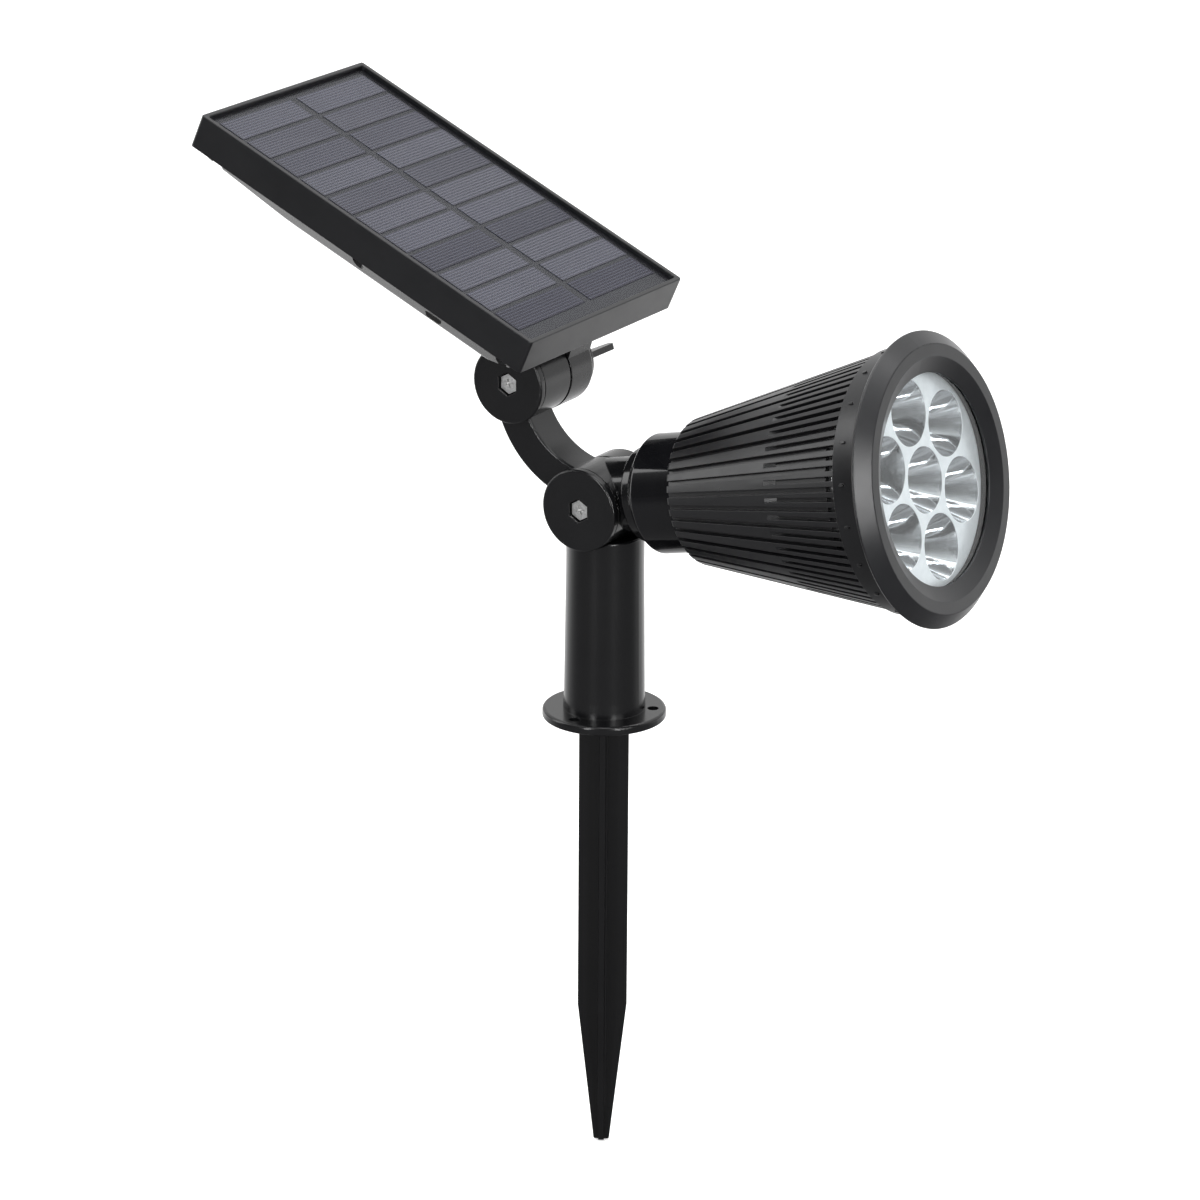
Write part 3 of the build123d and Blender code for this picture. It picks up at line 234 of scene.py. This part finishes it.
def phosphor(name):
    """Yellow LED domes, finely grained under a clear coat."""
    m = new_material(name)
    grain = m.noise(m.coords(), scale=1800.0, detail=3.0)
    tint = m.mix(m.ramp(grain, start=0.3, end=0.7), (0.82, 0.70, 0.22), (0.93, 0.84, 0.42))
    roughness = m.ramp(grain, start=0.2, end=0.8, low=0.12, high=0.24)
    normal = m.bump(grain, strength=0.05, distance=0.00003)
    return m.finish(m.surface(tint, roughness, normal, coat=0.6))


def clear(name, tint, rough, ior, sheen=1.0):
    """Clear cover: see-through straight on, mirror-like at a grazing angle."""
    m = new_material(name)
    co = m.coords()
    flow = m.noise(co, scale=60.0, detail=3.0, rough=0.5, distort=0.6)
    color = m.mix(m.ramp(flow, start=0.2, end=0.8), shade(tint, gain=0.985), tint)
    through = m.node("BsdfTransparent", {"Color": color})
    roughness = m.ramp(m.noise(co, scale=400.0, detail=2.0),
                       start=0.2, end=0.8, low=rough * 0.7, high=rough * 1.3)
    glossy = m.node("BsdfGlossy", {
        "Color": (1, 1, 1), "Roughness": roughness,
        "Normal": m.bump(flow, strength=0.02, distance=0.0005)})

    # Schlick's approximation of the reflected share
    geometry = m.node("NewGeometry").outputs
    facing = m.math("ABSOLUTE", m.dot(geometry["Normal"], geometry["Incoming"]))
    head_on = ((ior - 1.0) / (ior + 1.0)) ** 2
    grazing = m.math("POWER", m.math("SUBTRACT", 1.0, facing, clamp=True), 5.0)
    amount = m.math("ADD", head_on, m.math("MULTIPLY", grazing, 1.0 - head_on))
    amount = m.math("MULTIPLY", amount, sheen)
    # the inner faces pass light straight on
    front = m.math("SUBTRACT", 1.0, geometry["Backfacing"])
    amount = m.math("MULTIPLY", amount, front)
    return m.finish(m.node("MixShader", {
        0: amount, 1: through.outputs[0], 2: glossy.outputs[0]}))


# Silicon strips, in mm along the slope and across the panel
STRIP_PITCH = 13.4
STRIP_SHIFT = 136.9   # added to the slope distance before it repeats per strip
LINE_PITCH = 1.4
LINE_SHIFT = 0.05     # start of the first line's span within a strip
LINE_EDGE = (0.08, 0.16)     # distances from a line's middle over which it fades out
STRIP_TIP = (45.6, 46.0)     # distances from the panel's middle over which lines end


def silicon(name):
    """Coated silicon strips: dark blue-violet with fine printed silver lines."""
    m = new_material(name)
    co = m.coords()
    offset = m.offset_from(co, PANEL_ORIGIN)
    downhill = m.millimetres_along(offset, PANEL_DOWNHILL)
    across = m.millimetres_along(offset, PANEL_ACROSS)
    grain = m.noise(co, scale=240.0, detail=5.0, rough=0.6)
    drift = m.noise(co, scale=22.0, detail=3.0)
    tint = m.mix(m.ramp(drift, start=0.25, end=0.75),
                 (0.014, 0.0135, 0.024), (0.018, 0.017, 0.030))
    grain_amount = m.math("MULTIPLY", m.ramp(grain, start=0.35, end=0.7), 0.12)
    tint = m.mix(grain_amount, tint, (0.024, 0.024, 0.036))

    in_strip = m.math("FLOORED_MODULO", m.math("ADD", downhill, STRIP_SHIFT), STRIP_PITCH)
    in_span = m.math("FLOORED_MODULO", m.math("SUBTRACT", in_strip, LINE_SHIFT), LINE_PITCH)
    distance = m.math("ABSOLUTE", m.math("SUBTRACT", in_span, LINE_PITCH / 2))
    line = m.ramp(distance, *LINE_EDGE, low=1.0, high=0.0)
    tip = m.ramp(m.math("ABSOLUTE", across), *STRIP_TIP, low=1.0, high=0.0)
    line = m.math("MULTIPLY", line, tip)
    tint = m.mix(m.math("MULTIPLY", line, 0.85), tint, (0.110, 0.113, 0.150))
    # the lines are a little rougher than the silicon
    roughness = m.math("ADD", 0.42, m.math("MULTIPLY", line, 0.10))
    return m.finish(m.surface(tint, roughness, spec=0.1, coat=0.85, coat_rough=0.16))


def backsheet(name):
    """Dark laminate with a fine grain under a soft coat."""
    m = new_material(name)
    grain = m.noise(m.coords(), scale=500.0, detail=4.0, rough=0.6)
    tint = m.mix(m.ramp(grain, start=0.3, end=0.7),
                 (0.008, 0.008, 0.0092), (0.012, 0.012, 0.0135))
    roughness = m.ramp(grain, start=0.2, end=0.8, low=0.42, high=0.54)
    normal = m.bump(grain, strength=0.05, distance=0.00002)
    return m.finish(m.surface(tint, roughness, normal, spec=0.1, coat=0.62, coat_rough=0.16))


materials = {
    "satin": moulded("black_satin_plastic", (0.0065, 0.0066, 0.0074), rough=0.32, grain=0.15),
    "post": moulded("black_post_plastic", (0.0055, 0.0056, 0.0062), rough=0.22, grain=0.06,
                    rough_var=0.02),
    "rib": moulded("black_ribbed_plastic", (0.0075, 0.0076, 0.0086), rough=0.30, grain=0.15,
                   bevel=0.00035),
    "bracket": moulded("black_bracket_plastic", (0.0060, 0.0061, 0.0068), rough=0.25,
                       grain=0.05, bevel=0.0005, rough_var=0.03,
                       gloss_span=(9.0, 14.0), gloss=0.09),
    "gloss": moulded("black_gloss_plastic", (0.0050, 0.0051, 0.0060), rough=0.08, grain=0.06,
                     rough_var=0.02),
    "bezel": moulded("bezel_plastic", (0.0125, 0.0128, 0.0145), rough=0.30, grain=0.25,
                     bevel=0.0005),
    "frame": moulded("panel_frame_plastic", (0.0085, 0.0087, 0.0100), rough=0.32, grain=0.15,
                     bevel=0.0004),
    "pan": moulded("panel_back_plastic", (0.0085, 0.0086, 0.0095), rough=0.26, grain=0.15),
    "stake": moulded("stake_plastic", (0.0045, 0.0045, 0.0050), rough=0.22, grain=0.08,
                     rough_var=0.03),
    "nut": moulded("wing_nut_plastic", (0.0085, 0.0086, 0.0095), rough=0.28, grain=0.15),
    "rubber": moulded("black_rubber", (0.012, 0.012, 0.012), rough=0.62, grain=1.4,
                      rough_var=0.1, spec=0.35),
    "steel": metal("plated_screw_steel", (0.90, 0.90, 0.89), rough=0.42),
    "brass": metal("brass_insert_metal", (0.78, 0.58, 0.26), rough=0.28, scale=700.0),
    "mirror": reflector_finish("metallised_reflector"),
    "board": board("circuit_board_green", (0.02, 0.16, 0.06), line=(0.05, 0.26, 0.1)),
    "led_board": board("led_board_white_mask", (0.78, 0.79, 0.78), line=(0.70, 0.71, 0.70),
                       pitch=0.003),
    "chip": moulded("component_epoxy", (0.02, 0.02, 0.02), rough=0.42, grain=1.2),
    "wrap": wrap("cell_shrink_wrap", (0.03, 0.14, 0.42)),
    "wire": wrap("wire_insulation", (0.42, 0.02, 0.02)),
    "phosphor": phosphor("led_phosphor_dome"),
    "lens": clear("lens_polycarbonate", (0.965, 0.985, 0.99), rough=0.02, ior=1.45),
    "film": clear("panel_clear_film", (0.97, 0.975, 0.99), rough=0.04, ior=1.5, sheen=0.1),
    "silicon": silicon("silicon_cells"),
    "backsheet": backsheet("panel_dark_laminate"),
}

# CAD piece: material
FINISHES = {
    "stake": "stake", "post": "post", "bracket": "bracket", "pivot_bolts": "steel",
    "friction_washers": "rubber", "steel_washers": "steel", "lamp_rear_cap": "gloss",
    "neck_screws": "steel", "cap_o_ring": "rubber", "lamp_housing": "rib", "bezel": "bezel",
    "lens": "lens", "lens_gasket": "rubber", "reflector": "mirror", "led_board": "led_board",
    "led_emitters": "phosphor", "led_board_screws": "steel", "battery_holder": "satin",
    "battery": "wrap", "battery_contacts": "steel", "control_board": "board",
    "control_components": "chip", "lamp_harness": "wire", "panel_frame": "frame",
    "pv_board": "backsheet", "pv_cells": "silicon", "pv_cover": "film",
    "panel_back_cover": "pan", "cover_screws": "steel", "mode_switch": "chip",
    "junction_board": "board", "panel_leads": "wire", "wing_nut_lower": "nut",
    "wing_insert_lower": "brass", "wing_nut_upper": "nut", "wing_insert_upper": "brass",
    "mode_button": "rubber",
}
for piece_name, finish in FINISHES.items():
    piece = nodes[piece_name]
    if not piece.material_slots:
        piece.data.materials.append(materials[finish])
    for slot in piece.material_slots:
        slot.material = materials[finish]


# ------------------------------------------------------------------ stage
FLOOR_Z = -0.1781
FLOOR_HALF = 9.0
FLOOR_CELLS = 24   # per side
AWAY_FROM_CAMERA = (-0.532, 0.847, 0.0)


def add_object(name, data):
    made = bpy.data.objects.new(name, data)
    bpy.context.scene.collection.objects.link(made)
    return made


def floor_paper():
    """White to the camera; to other rays dark near the camera, bright and glowing far off."""
    m = new_material("studio_floor_paper")
    camera_ray = m.node("LightPath").outputs["Is Camera Ray"]
    co = m.coords()
    fibre = m.ramp(m.noise(co, scale=700.0, detail=3.0), start=0.2, end=0.8)
    white = m.mix(fibre, (0.93, 0.93, 0.93), (0.95, 0.95, 0.95))
    behind = m.ramp(m.dot(co, AWAY_FROM_CAMERA), start=-0.10, end=0.75)
    reflected = m.mix(behind, (0.16, 0.16, 0.163), (0.80, 0.80, 0.80))
    tint = m.mix(camera_ray, reflected, white)
    # glow: 0.45 for the camera, up to 0.7 behind the object for other rays
    glow_behind = m.math("MULTIPLY", behind, m.math("SUBTRACT", 1.0, camera_ray))
    glow = m.math("ADD", m.math("MULTIPLY", camera_ray, 0.45),
                  m.math("MULTIPLY", glow_behind, 0.7))
    paper = m.surface(tint, rough=0.9, spec=0.1)
    m.put(paper.inputs["Emission Color"], tint)
    m.put(paper.inputs["Emission Strength"], glow)
    return m.finish(paper)


def floor():
    """Square grid centred under the object."""
    row = FLOOR_CELLS + 1
    ticks = [-FLOOR_HALF + 2 * FLOOR_HALF * i / FLOOR_CELLS for i in range(row)]
    corners = [(x, y, FLOOR_Z) for y in ticks for x in ticks]
    faces = [(j * row + i, j * row + i + 1, (j + 1) * row + i + 1, (j + 1) * row + i)
             for j in range(FLOOR_CELLS) for i in range(FLOOR_CELLS)]
    mesh = bpy.data.meshes.new("studio_floor")
    mesh.from_pydata(corners, [], faces)
    made = add_object("studio_floor", mesh)
    mesh.materials.append(floor_paper())
    return made


def studio_world():
    """Bright behind and above the object, dim towards the camera, full white when seen."""
    w = Graph(bpy.data.worlds.new("studio_world"), "OutputWorld")
    direction = w.node("TexCoord").outputs["Generated"]
    camera_ray = w.node("LightPath").outputs["Is Camera Ray"]
    back_lit = w.ramp(w.dot(direction, (-0.30, 0.78, 0.55)),
                      start=-0.25, end=0.75, low=0.09, high=1.0)
    overhead = w.ramp(w.dot(direction, (0, 0, 1)), start=0.45, end=0.95, low=0.0, high=0.30)
    strength = w.math("MAXIMUM", w.math("ADD", back_lit, overhead),
                      w.math("MULTIPLY", camera_ray, 1.0))
    background = w.node("Background", {"Color": (1.0, 1.0, 1.0), "Strength": strength})
    return w.finish(background)


floor()
scene = bpy.context.scene
scene.world = studio_world()

# Area lights: name, position, target, width, height, power in watts.
# The two tall key strips draw the upright streaks on the post.
LIGHTS = [
    ("key_left", (0.05, -1.7, 0.45), (0.0, 0.0, 0.04), 0.12, 1.9, 16.0),
    ("key_right", (1.45, -0.90, 0.45), (0.0, 0.0, 0.04), 0.12, 1.9, 16.0),
    ("side_left", (-1.5, -0.7, 0.75), (0.0, 0.0, 0.08), 0.55, 1.5, 8.0),
    ("face_box", (1.75, -0.55, 0.62), (0.15, 0.0, 0.12), 0.7, 0.7, 5.5),
    ("fill_top", (0.0, 0.2, 1.7), (0.0, 0.0, 0.1), 1.6, 1.6, 16.0),
]
for light_name, position, target, width, height, power in LIGHTS:
    light = bpy.data.lights.new(light_name, "AREA")
    light.shape = "RECTANGLE"
    light.size = width
    light.size_y = height
    light.energy = power
    lamp = add_object(light_name, light)
    lamp.location = position
    aim = Vector(target) - Vector(position)
    lamp.rotation_euler = aim.to_track_quat("-Z", "Y").to_euler()

# ------------------------------------------------------------------ camera
AZIMUTH = math.radians(32.168)   # swung from -Y towards +X
ELEVATION = math.radians(19.341)
ROLL = math.radians(0.375)
CAMERA_PLACE = (0.935609, -1.491110, 0.663986)
FOCAL_LENGTH = 148.1232          # mm, on a sensor 36 mm wide

level_right = Vector((math.cos(AZIMUTH), math.sin(AZIMUTH), 0.0))
backward = Vector((math.sin(AZIMUTH) * math.cos(ELEVATION),
                   -math.cos(AZIMUTH) * math.cos(ELEVATION),
                   math.sin(ELEVATION)))
level_up = backward.cross(level_right)
right = level_right * math.cos(ROLL) + level_up * math.sin(ROLL)
up = -level_right * math.sin(ROLL) + level_up * math.cos(ROLL)

lens = bpy.data.cameras.new("camera")
camera = add_object("camera", lens)
camera.matrix_world = Matrix((*zip(right, up, backward, CAMERA_PLACE), (0, 0, 0, 1)))
lens.sensor_width = 36.0
lens.lens = FOCAL_LENGTH
lens.clip_start = 0.05
lens.clip_end = 60.0
scene.camera = camera
scene.view_settings.view_transform = "Standard"
scene.view_settings.look = "None"
